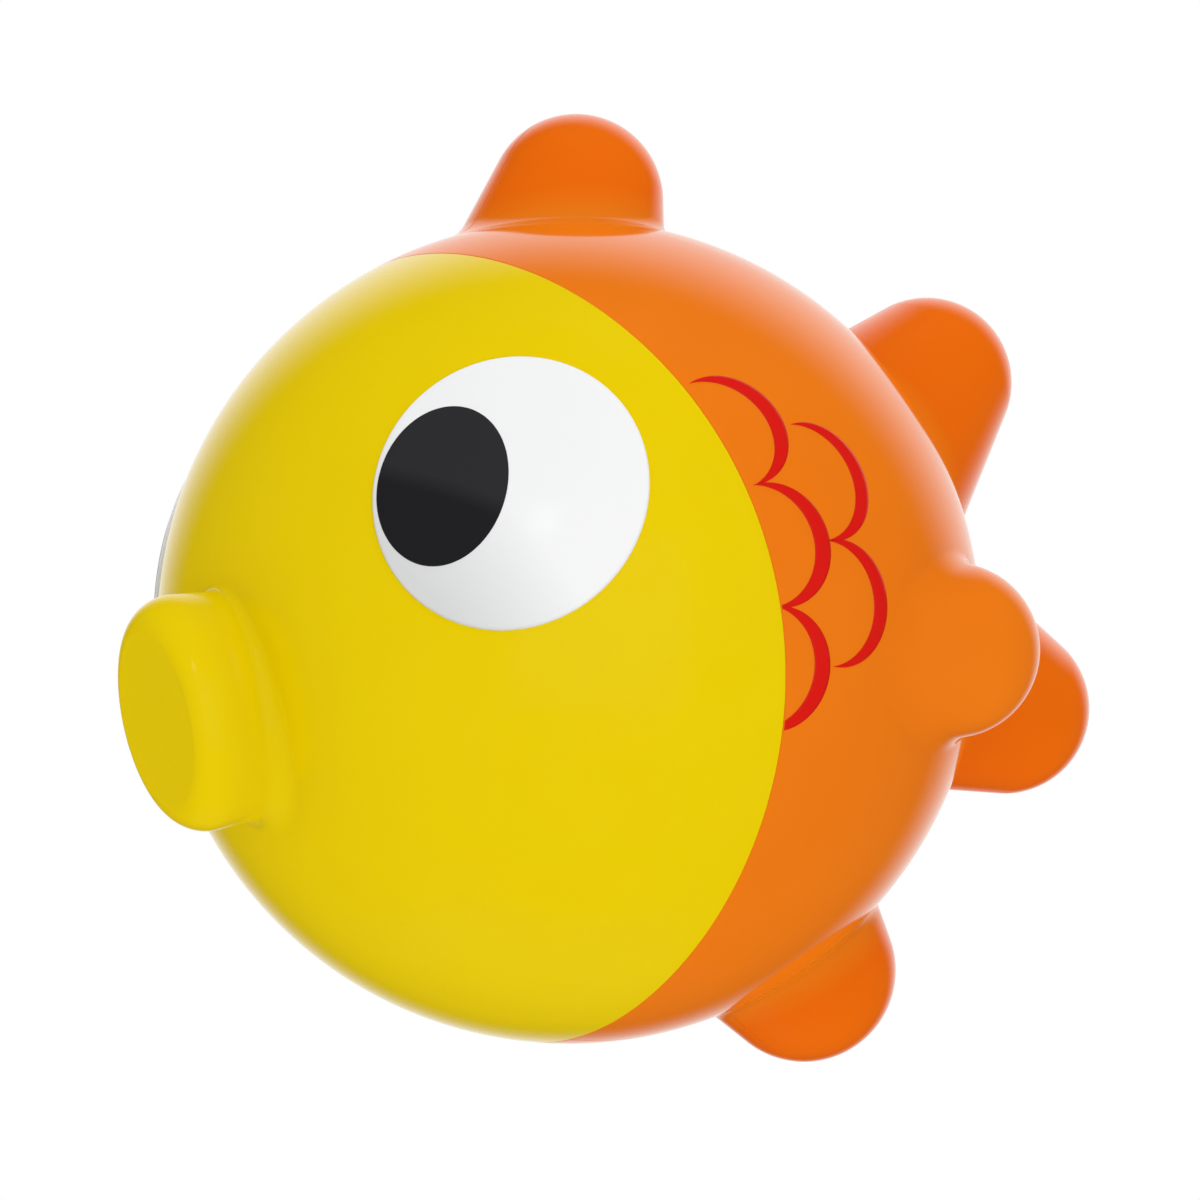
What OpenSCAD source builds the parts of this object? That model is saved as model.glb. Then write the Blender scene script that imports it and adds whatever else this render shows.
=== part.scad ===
// Fish bath toy: a ball-shaped fish moulded as a front face shell and two body halves,
// with set-in eyes and a belly weight that keeps it upright in the water.
// It sits as it does on a table, on its belly and its bottom fin, nose a little down.
// Millimetres, +Z up, the fish looks along -Y and its left side is +X.
// The origin is the point of the belly that touches the table.

/* [Ball body] */
// Outer diameter of the round body
ball_d = 90; // [80:1:110]
// Wall thickness of the moulded shells
wall = 2.4; // [1.8:0.1:3]

/* [Snout] */
// How far the flat front of the snout stands out from the ball
snout_rise = 9; // [6:0.1:12]
// Height of the oval snout
snout_h = 25.4; // [20:0.1:30]
// Width of the oval snout
snout_w = 17.4; // [14:0.1:24]
// How far the snout's middle lies below the ball's
snout_drop = 0.2; // [0:0.1:2]
// Rounding of the snout's front rim, as seen at its top and bottom
snout_round = 3.1; // [1:0.1:3.5]
// Fillet where the snout flows into the face, as seen at its top and bottom
snout_fillet = 0.4; // [0.3:0.1:2]

/* [Face seam] */
// Radius of the arc that the seam follows, seen from the side
seam_r = 108; // [90:1:140]
// How far in front of the ball's centre the seam crosses the flanks
seam_ahead = 2.6; // [0:0.1:8]
// How far the lip of the body reaches under the face shell
lip_length = 4; // [2:0.1:6]
// Gap left for glue between shells
glue_gap = 0.1; // [0.05:0.01:0.2]

/* [Top fin] */
// Angle of the top fin's tip, from straight up towards the tail
top_fin_angle = 16.4; // [8:0.1:25]
// How far the centre of the tip's rounding stands out from the ball
top_fin_rise = 3.2; // [2:0.1:10]
// Radius of the rounded tip
top_fin_tip_r = 9.6; // [7:0.1:11]
// Angle of the top fin's root
top_fin_root_angle = 6.6; // [3:0.1:12]
// Radius of the top fin's root, inside the ball
top_fin_root_r = 14.5; // [12:0.1:15]

/* [Bottom fin] */
// Angle of the bottom fin's tip, from straight up round past the tail
bottom_fin_angle = 154.1; // [145:0.1:160]
// How far the centre of the tip's rounding stands out from the ball
bottom_fin_rise = 1.4; // [1:0.1:8]
// Radius of the rounded tip
bottom_fin_tip_r = 10.1; // [8:0.1:11]
// Angle of the bottom fin's root
bottom_fin_root_angle = 154.7; // [148:0.1:160]
// Radius of the bottom fin's root, inside the ball
bottom_fin_root_r = 14.7; // [12:0.1:15]

/* [Tail] */
// Angle of a tail lobe's tip above and below the tail's own axis
tail_angle = 19; // [16:0.1:24]
// Lift of the tail's axis above the fish's long axis
tail_lift_angle = 0.5; // [-2:0.1:2]
// How far the centre of a lobe's rounding stands out from the ball
tail_rise = 12.5; // [9:0.1:18]
// Radius of the rounded tip of a lobe
tail_tip_r = 9.5; // [7:0.1:10]
// Angle of a lobe's root above and below the tail's axis
tail_root_angle = 6.7; // [4:0.1:10]
// Radius of a lobe's root, inside the ball
tail_root_r = 18; // [14:0.1:18.5]

/* [Side fins] */
// Angle of a side fin's tip, from the flank towards the tail
side_fin_angle = 38; // [30:0.5:45]
// Angle of a side fin below the ball's middle
side_fin_drop_angle = 15.5; // [8:0.5:22]
// Depth of the tip's centre below the ball's surface
side_fin_sink = 1.3; // [0:0.1:4]
// Radius of the rounded tip
side_fin_tip_r = 9.5; // [7:0.1:11]
// How far the root lies in front of the tip, as an angle round the ball
side_fin_sweep_angle = 20; // [10:0.5:26]
// Radius of a side fin's root, inside the ball
side_fin_root_r = 12.4; // [10:0.1:12.6]

/* [Fin roots] */
// Depth of the top fin's, bottom fin's and tail's root centres below the ball's surface
fin_root_depth = 16.2; // [15:0.1:20]
// Depth of the side fins' root centres
side_root_depth = 13.5; // [13:0.1:18]

/* [Eyes] */
// Angle of an eye from straight ahead round to the flank
eye_turn_angle = 52.6; // [45:0.1:60]
// Angle of an eye above the ball's middle
eye_lift_angle = 19.9; // [12:0.1:26]
// Height of the oval white eye
eye_h = 31.1; // [25:0.1:34]
// Width of the oval white eye
eye_w = 29.7; // [24:0.1:33]
// Lean of the eye's top towards the tail
eye_lean_angle = 20.8; // [0:0.1:30]
// How far the eye stands proud of the ball
eye_proud = 0.4; // [0.3:0.1:1.6]
// Depth of the pocket that the eye sits in
eye_seat = 1.2; // [0.8:0.1:1.4]
// Width of the ledge at the bottom of the pocket
eye_ledge = 1.6; // [1:0.1:3]
// How far the eye's plug reaches in past the wall
eye_plug = 0.6; // [0.4:0.1:2]
// Gap round parts that are set in
set_gap = 0.1; // [0.05:0.01:0.2]

/* [Pupils] */
// Angle of a pupil from straight ahead round to the flank
pupil_turn_angle = 43.1; // [40:0.1:48]
// Angle of a pupil above the ball's middle
pupil_lift_angle = 22; // [18:0.1:26]
// Height of the oval pupil
pupil_h = 18.2; // [14:0.1:20]
// Width of the oval pupil
pupil_w = 14.6; // [10:0.1:15]
// Lean of the pupil's top towards the tail
pupil_lean_angle = 15.3; // [0:0.1:30]
// Depth of the pupil's pocket in the eye
pupil_seat = 0.9; // [0.6:0.1:1.2]
// Diameter of the peg behind the pupil
pupil_peg_d = 4; // [3:0.1:5]

/* [Closing the body] */
// Diameter of the bosses that line up the two body halves
boss_d = 7; // [6:0.1:9]
// Length of each boss
boss_length = 7; // [6:0.1:10]
// Diameter of the locating pegs
peg_d = 3; // [2:0.1:4]
// Length of the locating pegs
peg_length = 3; // [2:0.1:5]
// Angle of the upper boss, from straight up towards the tail
upper_boss_angle = 44; // [40:0.5:48]
// Angle of the lower boss
lower_boss_angle = 128; // [124:0.5:132]

/* [Belly weight] */
// Diameter of the steel weight
weight_d = 25; // [18:0.1:26]
// Height of the weight's flat top above the inside of the belly
weight_h = 12; // [8:0.1:16]
// How far behind the ball's centre the weight lies
weight_back = 3; // [1:0.1:5]
// Wall of the collar that holds the weight
collar_wall = 1.8; // [1.2:0.1:2.5]
// Thickness of the cap pressed in over the weight
cap_h = 2; // [1.5:0.1:3]

/* [Hidden] */
$fn = 96;

yellow = "#e6c900";
orange = "#ea7912";
white = "#f2f2f2";
black = "#232426";
steel = "#9a9da1";
grey = "#c9cbcd";

ball_r = ball_d / 2;
inner_r = ball_r - wall;
huge = 3 * ball_d;
snout_r = snout_h / 2;
snout_reach = ball_r + snout_rise;
seam_centre = seam_ahead + seam_r;
lip_r = ball_r - wall / 2;

// Nose-down angle at which the belly and the bottom fin both touch the table
bottom_fin_reach = ball_r + bottom_fin_rise;
sit_angle = acos((ball_r - bottom_fin_tip_r) / bottom_fin_reach) - (180 - bottom_fin_angle);

// Point on the fish's middle plane: an angle from straight up towards the tail, and a distance
function on_middle(angle, reach) = [0, reach * sin(angle), reach * cos(angle)];

// Point on the left flank: an angle from the flank towards the tail, one below the middle
function on_flank(back, drop, reach) =
    reach * [cos(back) * cos(drop), sin(back) * cos(drop), -sin(drop)];

// Points of an arc in a profile, from one angle to another
arc_steps = 10;
function arc(centre, r, from, to) =
    [for (i = [0 : arc_steps]) let (a = from + (to - from) * i / arc_steps)
        centre + r * [cos(a), sin(a)]];

// Sets the level fish down on its belly and bottom fin
module sit() {
    translate([0, 0, ball_r])
        rotate([sit_angle, 0, 0])
            children();
}

// Points +Z outwards at an eye or pupil, with +Y up along the ball
module aim(turn, lift) {
    rotate([90 - lift, 0, turn])
        children();
}

// Copies the left side's shape to the right
module right_side() {
    mirror([1, 0, 0])
        children();
}

// Tapered fin with a rounded tip, from a wide root inside the ball; its flank is aimed a
// little inside the tip's rounding
tuck = 0.985;
module fin(tip, tip_r, root, root_r) {
    span = tip - root;
    reach = norm(span);
    neck_r = tuck * tip_r;
    slope = asin((root_r - neck_r) / reach);
    start = root_r * sin(slope);
    shoulder = reach + neck_r * sin(slope);
    translate(root)
        rotate([0, acos(span.z / reach), atan2(span.y, span.x)]) {
            translate([0, 0, start])
                cylinder(h = shoulder - start, r1 = root_r * cos(slope), r2 = neck_r * cos(slope));
            translate([0, 0, reach])
                sphere(r = tip_r);
        }
}

// All fins of the left side, with every face drawn in by an inset
module fins(inset) {
    root_reach = ball_r - fin_root_depth;
    fin(on_middle(top_fin_angle, ball_r + top_fin_rise), top_fin_tip_r - inset,
        on_middle(top_fin_root_angle, root_reach), top_fin_root_r - inset);
    fin(on_middle(bottom_fin_angle, bottom_fin_reach), bottom_fin_tip_r - inset,
        on_middle(bottom_fin_root_angle, root_reach), bottom_fin_root_r - inset);
    for (up = [1, -1])
        fin(on_middle(90 - tail_lift_angle - up * tail_angle, ball_r + tail_rise), tail_tip_r - inset,
            on_middle(90 - tail_lift_angle - up * tail_root_angle, root_reach), tail_root_r - inset);
    fin(on_flank(side_fin_angle, side_fin_drop_angle, ball_r - side_fin_sink), side_fin_tip_r - inset,
        on_flank(side_fin_angle - side_fin_sweep_angle, side_fin_drop_angle, ball_r - side_root_depth),
        side_fin_root_r - inset);
}

// Everything inside the seam's arc, seen from the side; the arc's radius can be drawn in
module seam_drum(draw_in) {
    translate([0, -seam_centre, 0])
        rotate([0, 90, 0])
            cylinder(h = huge, r = seam_r - draw_in, center = true, $fn = 360);
}

// Snout as a turned form squeezed to its oval: rounded rim and a fillet into the ball; it runs
// a little past the flat front, which cuts it off
snout_over = 0.05;
module snout() {
    fillet_out = snout_r + snout_fillet;
    fillet_up = sqrt(pow(ball_r + snout_fillet, 2) - pow(fillet_out, 2));
    fillet_turn = atan2(fillet_up, fillet_out);
    bite = 0.3;
    foot = (ball_r - bite) * [cos(fillet_turn), sin(fillet_turn)];
    tip = snout_reach + snout_over;
    intersection() {
        translate([0, 0, -snout_drop])
            scale([snout_w / snout_h, 1, 1])
                rotate([90, 0, 0])
                    rotate_extrude()
                        polygon(concat(
                            [[0, ball_r / 2], [foot.x, ball_r / 2], foot],
                            arc([fillet_out, fillet_up], snout_fillet, 180 + fillet_turn, 180),
                            arc([snout_r - snout_round, tip - snout_round], snout_round, 0, 90),
                            [[0, tip]]));
        translate([0, huge / 2 - snout_reach, 0])
            cube(huge, center = true);
    }
}

// Hollow inside the snout
module snout_hollow() {
    translate([0, 0, -snout_drop])
        scale([(snout_w - 2 * wall) / (snout_h - 2 * wall), 1, 1])
            rotate([90, 0, 0])
                cylinder(h = snout_reach - wall, d = snout_h - 2 * wall);
}

// Leaning oval run out from the ball's centre, grown by a gap
module oval_column(tall, wide, lean, grow) {
    linear_extrude(ball_d)
        rotate([0, 0, -lean])
            scale([(wide + 2 * grow) / (tall + 2 * grow), 1])
                circle(d = tall + 2 * grow);
}

// Column through the left eye's oval
module eye_column(grow) {
    oval_column(eye_h, eye_w, eye_lean_angle, grow);
}

// Column through the left pupil's oval
module pupil_column(grow) {
    oval_column(pupil_h, pupil_w, pupil_lean_angle, grow);
}

// Pocket and hole for the left eye
module eye_hole() {
    aim(eye_turn_angle, eye_lift_angle) {
        eye_column(-eye_ledge);
        difference() {
            eye_column(set_gap);
            sphere(r = ball_r - eye_seat);
        }
    }
}

// Front shell with the snout, the seats of both eyes and a rebate over the body's lip
module face_shell() {
    color(yellow)
        sit()
            difference() {
                intersection() {
                    union() {
                        sphere(r = ball_r);
                        snout();
                    }
                    seam_drum(glue_gap);
                }
                sphere(r = inner_r);
                snout_hollow();
                eye_hole();
                right_side()
                    eye_hole();
                difference() {
                    sphere(r = lip_r + glue_gap);
                    seam_drum(lip_length + glue_gap);
                }
            }
}

// Centres of the two bosses that line up the halves
boss_reach = inner_r - boss_d / 2 + collar_wall / 2;
boss_places = [for (a = [upper_boss_angle, lower_boss_angle]) on_middle(a, boss_reach)];

// Left half of the body, with no pegs or sockets yet
module body_half() {
    difference() {
        union() {
            difference() {
                union() {
                    sphere(r = ball_r);
                    fins(0);
                }
                sphere(r = inner_r);
                fins(wall);
            }
            intersection() {
                sphere(r = lip_r);
                union() {
                    weight_collar();
                    for (p = boss_places)
                        translate(p)
                            rotate([0, 90, 0])
                                cylinder(h = boss_length, d = boss_d);
                }
            }
        }
        difference() {
            seam_drum(0);
            sphere(r = lip_r);
        }
        seam_drum(lip_length);
        translate([-huge, 0, 0])
            cube(2 * huge, center = true);
    }
}

// Left half with its locating pegs
module body_left() {
    color(orange)
        sit() {
            body_half();
            for (p = boss_places)
                translate(p - [peg_length, 0, 0])
                    rotate([0, 90, 0])
                        cylinder(h = peg_length + boss_length / 2, d = peg_d);
        }
}

// Right half with the sockets for the pegs
module body_right() {
    color(orange)
        sit()
            difference() {
                right_side()
                    body_half();
                for (p = boss_places)
                    translate(p - [peg_length + set_gap, 0, 0])
                        rotate([0, 90, 0])
                            cylinder(h = ball_d, r = peg_d / 2 + set_gap);
            }
}

// Left pupil: an oval inlay on a peg
module pupil() {
    aim(pupil_turn_angle, pupil_lift_angle) {
        intersection() {
            difference() {
                pupil_column(0);
                sphere(r = ball_r + eye_proud - pupil_seat);
            }
            sphere(r = ball_r + eye_proud);
        }
        translate([0, 0, inner_r - eye_plug])
            cylinder(h = wall + eye_plug + eye_proud - pupil_seat / 2, d = pupil_peg_d);
    }
}

// Left eye: a domed oval with a plug behind it, pocketed for the pupil
module eye() {
    difference() {
        aim(eye_turn_angle, eye_lift_angle)
            difference() {
                intersection() {
                    eye_column(0);
                    sphere(r = ball_r + eye_proud);
                }
                difference() {
                    sphere(r = ball_r - eye_seat);
                    eye_column(-eye_ledge - set_gap);
                }
                sphere(r = inner_r - eye_plug);
            }
        aim(pupil_turn_angle, pupil_lift_angle) {
            difference() {
                pupil_column(set_gap);
                sphere(r = ball_r + eye_proud - pupil_seat - set_gap);
            }
            cylinder(h = ball_d, r = pupil_peg_d / 2 + set_gap);
        }
    }
}

module eye_left() {
    color(white)
        sit()
            eye();
}

module eye_right() {
    color(white)
        sit()
            right_side()
                eye();
}

module pupil_left() {
    color(black)
        sit()
            pupil();
}

module pupil_right() {
    color(black)
        sit()
            right_side()
                pupil();
}

weight_r = weight_d / 2;
weight_top = weight_h - inner_r;
collar_top = weight_top + cap_h + collar_wall;

// Collar in the belly round the weight, half of it on each body half
module weight_collar() {
    translate([0, weight_back, -ball_r])
        difference() {
            cylinder(h = ball_r + collar_top, r = weight_r + set_gap + collar_wall);
            cylinder(h = ball_d, r = weight_r + set_gap);
        }
}

// Steel weight with an underside that follows the belly
module ballast_weight() {
    color(steel)
        sit()
            intersection() {
                translate([0, weight_back, -ball_r])
                    cylinder(h = ball_r + weight_top, r = weight_r);
                sphere(r = inner_r - set_gap);
            }
}

// Cap pressed into the collar over the weight
module ballast_cap() {
    color(grey)
        sit()
            translate([0, weight_back, weight_top])
                cylinder(h = cap_h, r = weight_r);
}

face_shell();
body_left();
body_right();
eye_left();
eye_right();
pupil_left();
pupil_right();
ballast_weight();
ballast_cap();
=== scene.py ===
# %% [markdown]
# # A fish bath toy
# The toy is a hollow plastic ball, 90 mm across, made to look like a fish. It has a yellow face with a
# flat oval snout, an orange body with stubby fins, and two large eyes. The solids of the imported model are
# loaded first. They give every piece its place, so each piece below is made where its solid already is.

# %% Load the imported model
import math

import bmesh
import bpy
import numpy as np
from mathutils import Matrix, Vector


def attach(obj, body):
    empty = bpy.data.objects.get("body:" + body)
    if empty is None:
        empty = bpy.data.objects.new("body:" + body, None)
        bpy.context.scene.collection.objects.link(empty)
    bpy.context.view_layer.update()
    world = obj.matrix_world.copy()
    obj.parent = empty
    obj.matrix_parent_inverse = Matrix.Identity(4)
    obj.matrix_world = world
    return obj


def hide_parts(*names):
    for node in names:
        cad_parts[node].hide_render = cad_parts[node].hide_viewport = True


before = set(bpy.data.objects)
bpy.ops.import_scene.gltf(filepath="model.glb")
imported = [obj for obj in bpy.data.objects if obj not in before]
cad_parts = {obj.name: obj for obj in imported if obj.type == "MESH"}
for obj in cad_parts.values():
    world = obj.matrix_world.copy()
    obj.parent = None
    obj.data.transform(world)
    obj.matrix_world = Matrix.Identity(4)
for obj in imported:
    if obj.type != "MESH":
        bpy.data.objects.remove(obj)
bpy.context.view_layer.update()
print("nodes:", ", ".join(sorted(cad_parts)))

# %% [markdown]
# ## Sizes
# The toy rests on its belly and its bottom fin, with the nose a little down. It could be drawn in that
# tilt, but it is easier to draw level: the ball's centre at the origin, the nose along -Y and the left
# flank along +X. One matrix then sets the level fish down. Sizes are written in millimetres and turned to
# metres once, because Blender's unit here is the metre.

# %% Sizes of the fish
MM = 0.001
BALL_R = 45.0 * MM
WALL = 2.4 * MM
BOTTOM_TIP_R = 10.1 * MM
BOTTOM_PAST = 1.4 * MM
BOTTOM_ANGLE = 154.1
# Drawn in by a hundredth of a millimetre, so that the skins stay inside the box of the solids
DRAWN_IN = 0.9998

tip_angle = math.acos((BALL_R - BOTTOM_TIP_R) / (BALL_R + BOTTOM_PAST))
sit_angle = tip_angle - math.radians(180 - BOTTOM_ANGLE)
SIT = Matrix.Translation((0, 0, BALL_R)) @ Matrix.Rotation(sit_angle, 4, "X") @ Matrix.Scale(DRAWN_IN, 4)
print(f"the nose points {math.degrees(sit_angle):.2f} degrees down")

# %% [markdown]
# ## The camera
# A catalogue picture of a small toy is taken with a long lens from far away, which keeps the ball round.
# The camera stands a little below the table and looks up at the fish's left cheek. A lens shift could
# move the fish in the frame, but aiming slightly past the ball's centre does that without one.

# %% Camera
CAMERA_TURN, CAMERA_LIFT = math.radians(57.695), math.radians(-10.411)
CAMERA_FAR = 30 * BALL_R
AIM_RIGHT, AIM_UP = 3.396 * MM, 3.44 * MM
SENSOR_MM, LENS_MM = 36.0, 370.864

camera_data = bpy.data.cameras.new("catalogue_camera")
camera_data.sensor_width = SENSOR_MM
camera_data.lens = LENS_MM
camera_data.clip_start, camera_data.clip_end = 0.05, 50.0
camera = bpy.data.objects.new("catalogue_camera", camera_data)
bpy.context.scene.collection.objects.link(camera)
camera_turn = Matrix.Rotation(CAMERA_TURN, 4, "Z") @ Matrix.Rotation(math.pi / 2 - CAMERA_LIFT, 4, "X")
camera.matrix_world = (
    Matrix.Translation((0, 0, BALL_R)) @ camera_turn @ Matrix.Translation((AIM_RIGHT, AIM_UP, CAMERA_FAR))
)
bpy.context.scene.camera = camera
print("camera at", [round(c, 3) for c in camera.matrix_world.translation])

# %% [markdown]
# ## Finishes
# The toy is injection-moulded ABS with a polished, high-gloss skin. Such plastic is one even colour all
# the way through, so what the eye sees is the gloss, a very slight drift of colour where the melt flowed,
# and a soft ripple from the mould's polish that makes reflections waver. A painted picture could show
# that, but shader nodes stay sharp from any distance. One function turns the sRGB hex colours to the
# linear values that shaders work in, and one adds a node with its settings and links.

# %% Helpers for finishes


def linear(hex_colour):
    """Linear RGBA for a shader from an sRGB hex colour."""
    channels = [int(hex_colour[i:i + 2], 16) / 255 for i in (1, 3, 5)]
    return [c / 12.92 if c <= 0.04045 else ((c + 0.055) / 1.055) ** 2.4 for c in channels] + [1.0]


def add(owner, kind, settings=None, links=None):
    """Adds a node to a material or world, sets its properties or sockets, and links its sockets."""
    made = owner.node_tree.nodes.new(kind)
    for name, value in (settings or {}).items():
        if isinstance(name, int) or name in made.inputs:
            made.inputs[name].default_value = value
        else:
            setattr(made, name, value)
    for name, (source, output) in (links or {}).items():
        owner.node_tree.links.new(source.outputs[output], made.inputs[name])
    return made


def new_material(name):
    """Empty node material, and its output node."""
    material = bpy.data.materials.new(name)
    material.use_nodes = True
    material.node_tree.nodes.clear()
    return material, add(material, "ShaderNodeOutputMaterial")


print("the hex grey #808080 is", round(linear("#808080")[0], 3), "in linear light")

# %% [markdown]
# ## Moulded plastic
# All the coloured pieces come from polished moulds, so they share one recipe. The colour drifts by a few
# percent over patches about 20 mm wide, the roughness varies over 6 mm patches, as a polish by hand leaves
# it, and the bump is a ripple 5 mm long and a few thousandths of a millimetre high. A separate recipe for
# each colour could do the same, but one function keeps the pieces alike.

# %% Moulded plastics
FLOW_PATCH, POLISH_PATCH = 20 * MM, 6 * MM
RIPPLE_LONG, RIPPLE_HIGH, INK_RIPPLE_HIGH = 5 * MM, 0.004 * MM, 0.002 * MM
PLASTIC_IOR = 1.5


def moulded_plastic(name, light, deep, smooth, rough, ripple=RIPPLE_HIGH):
    """Moulded plastic between two close colours and two roughness values."""
    material, output = new_material(name)
    place = add(material, "ShaderNodeTexCoord")
    flow = add(material, "ShaderNodeTexNoise", {"Scale": 1 / FLOW_PATCH, "Detail": 2.0, "Roughness": 0.5},
               {"Vector": (place, "Object")})
    colour = add(material, "ShaderNodeMix", {"data_type": "RGBA", 6: linear(light), 7: linear(deep)},
                 {0: (flow, "Fac")})
    polish = add(material, "ShaderNodeTexNoise",
                 {"Scale": 1 / POLISH_PATCH, "Detail": 3.0, "Roughness": 0.6}, {"Vector": (place, "Object")})
    gloss = add(material, "ShaderNodeMapRange", {"To Min": smooth, "To Max": rough},
                {"Value": (polish, "Fac")})
    wave = add(material, "ShaderNodeTexNoise", {"Scale": 1 / RIPPLE_LONG, "Detail": 1.0},
               {"Vector": (place, "Object")})
    relief = add(material, "ShaderNodeBump", {"Strength": 1.0, "Distance": ripple},
                 {"Height": (wave, "Fac")})
    skin = add(material, "ShaderNodeBsdfPrincipled", {"IOR": PLASTIC_IOR},
               {"Base Color": (colour, 2), "Roughness": (gloss, "Result"), "Normal": (relief, "Normal")})
    material.node_tree.links.new(skin.outputs[0], output.inputs["Surface"])
    return material


# Polished yellow ABS: an even, sunny colour with clean pale reflections along its edges
yellow_abs = moulded_plastic("yellow_gloss_abs", "#e6c900", "#e2c300", 0.06, 0.12)
# Polished orange ABS: a warm, even colour whose rims turn pale pink, where the gloss is strongest
orange_abs = moulded_plastic("orange_gloss_abs", "#e97a14", "#e5720e", 0.06, 0.12)
# Polished white ABS: a milky eye, bright without looking like a lamp
eye_abs = moulded_plastic("white_gloss_abs", "#eeeeee", "#eaebeb", 0.08, 0.14)
# Polished black ABS: a very dark grey that shows the sheen of its gloss and isn't a black hole
pupil_abs = moulded_plastic("black_gloss_abs", "#2e2d30", "#2b2a2d", 0.08, 0.14)
# Pad-printed ink: duller than the plastic round it, so that the scales look printed on
scale_ink = moulded_plastic("red_pad_print_ink", "#d81002", "#d20c02", 0.16, 0.24, INK_RIPPLE_HIGH)
# Satin plastic from a blasted mould: reflections are spread into a dull haze
cap_plastic = moulded_plastic("grey_satin_plastic", "#c9cbcd", "#bfc2c5", 0.35, 0.5)
print("plastics:", [m.name for m in (yellow_abs, orange_abs, eye_abs, pupil_abs, scale_ink, cap_plastic)])

# %% [markdown]
# ## Painted shade on the middle fins
# The fins on the fish's middle line take light from fewer sides than the ball, so their orange looks a little
# redder and darker. That is painted shade: a tint multiplies their colour. A second orange would end in a
# hard line. A tint that grows over 3 mm doesn't, and the distance from the left-right axis through the ball's
# middle tells where it begins.

# %% Painted shade on the middle fins
FIN_PAINTED_SHADE, FIN_SHADE_GROWS = "#ffe289", 3 * MM


def paint_shade_between(material, measure, start, end, tint):
    """Paints shade into a finish: multiplies its colour by a tint, more and more between two values of a
    measuring node.
    """
    share = add(material, "ShaderNodeMapRange", {"From Min": start, "From Max": end},
                {"Value": (measure, "Value")})
    skin = next(n for n in material.node_tree.nodes if n.type == "BSDF_PRINCIPLED")
    even = skin.inputs["Base Color"].links[0].from_node
    shaded_colour = add(material, "ShaderNodeMix",
                 {"data_type": "RGBA", "blend_type": "MULTIPLY", 7: linear(tint)},
                 {0: (share, "Result"), 6: (even, 2)})
    material.node_tree.links.new(shaded_colour.outputs[2], skin.inputs["Base Color"])


place = add(orange_abs, "ShaderNodeTexCoord")
from_side = add(orange_abs, "ShaderNodeVectorMath", {"operation": "MULTIPLY", 1: (0, 1, 1)},
                {0: (place, "Object")})
far = add(orange_abs, "ShaderNodeVectorMath", {"operation": "DISTANCE", 1: (0, 0, BALL_R)},
          {0: (from_side, "Vector")})
# Painted shade: the middle fins' orange grows redder and darker past the ball's radius
paint_shade_between(orange_abs, far, BALL_R, BALL_R + FIN_SHADE_GROWS, FIN_PAINTED_SHADE)
print("the fins begin", round(BALL_R / MM), "mm from the axis")

# %% [markdown]
# ## Turned steel
# The weight in the belly is a steel slug turned on a lathe, and its cap is grey plastic. Both solids are
# already right, so they only get a finish. The lathe's rings run round the weight's own axis. Ring waves
# give them without any geometry, once the pattern is tilted with the fish.

# %% Turned steel
# Real turning marks are finer; these are as coarse as they need to be to show
RING_PITCH = 2.5 * MM
# At scale 1, the wave texture repeats after this length
WAVE_REPEAT = 2 * math.pi / 20

# Turned steel: each highlight is drawn out into a band across the rings
turned_steel, output = new_material("turned_steel")
place = add(turned_steel, "ShaderNodeTexCoord")
level = add(turned_steel, "ShaderNodeMapping", {"vector_type": "POINT", "Rotation": (-sit_angle, 0, 0)},
            {"Vector": (place, "Object")})
rings = add(turned_steel, "ShaderNodeTexWave",
            {"wave_type": "RINGS", "rings_direction": "Z", "Scale": WAVE_REPEAT / RING_PITCH,
             "Distortion": 0.6}, {"Vector": (level, "Vector")})
tone = add(turned_steel, "ShaderNodeMix", {"data_type": "RGBA", 6: linear("#8f9296"), 7: linear("#a4a7ab")},
           {0: (rings, "Fac")})
gloss = add(turned_steel, "ShaderNodeMapRange", {"To Min": 0.28, "To Max": 0.4}, {"Value": (rings, "Fac")})
metal = add(turned_steel, "ShaderNodeBsdfPrincipled", {"Metallic": 1.0},
            {"Base Color": (tone, 2), "Roughness": (gloss, "Result")})
turned_steel.node_tree.links.new(metal.outputs[0], output.inputs["Surface"])

for name, finish in (("ballast_weight", turned_steel), ("ballast_cap", cap_plastic)):
    node_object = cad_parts[name]
    node_object.data.materials.clear()
    node_object.data.materials.append(finish)
print("the weight and its cap keep their solids")

# %% [markdown]
# ## Handing a piece over
# Every piece is drawn level. This helper sets it down with the one matrix, shades it smooth, gives it its
# finish, hangs it under the root and hides the solid it stands for. Blender can work out the shading from the
# faces, but where a piece knows its true surface direction at each corner, that is used, which keeps
# reflections free of facets. The fish is the same on both sides, so a second helper mirrors a piece to the
# right.

# %% Helpers that hand a piece over and mirror it


def hand_over(name, bm, finish, solid=None, directions=None):
    """Makes an object of a level bmesh, sits it down, and joins it to the frame."""
    mesh = bpy.data.meshes.new(name)
    bm.to_mesh(mesh)
    bm.free()
    mesh.transform(SIT)
    for face in mesh.polygons:
        face.use_smooth = True
    if directions is not None:
        tilted = directions @ np.array(SIT.to_3x3()).T
        mesh.normals_split_custom_set_from_vertices(tilted.tolist())
    mesh.materials.append(finish)
    piece = bpy.data.objects.new(name, mesh)
    bpy.context.scene.collection.objects.link(piece)
    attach(piece, "root")
    if solid:
        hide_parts(solid)
    print(f"{name}: {len(mesh.vertices)} vertices, {len(mesh.polygons)} faces")


def mirrored(bm):
    """The same form on the right side of the fish."""
    bmesh.ops.scale(bm, vec=(-1, 1, 1), verts=bm.verts)
    bmesh.ops.reverse_faces(bm, faces=bm.faces)
    return bm


# %% [markdown]
# ## The seam between face and body
# Seen from the side, the face meets the body along a shallow arc. A boolean with a large cylinder could
# cut it, but it would leave long thin faces. Blender's knife is a flat plane, so the arc is straightened
# first: every point is slid back or forward by the arc's own depth at its height, the flat plane cuts, and
# the points slide home. The same trick later trims the printed scales.

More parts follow.
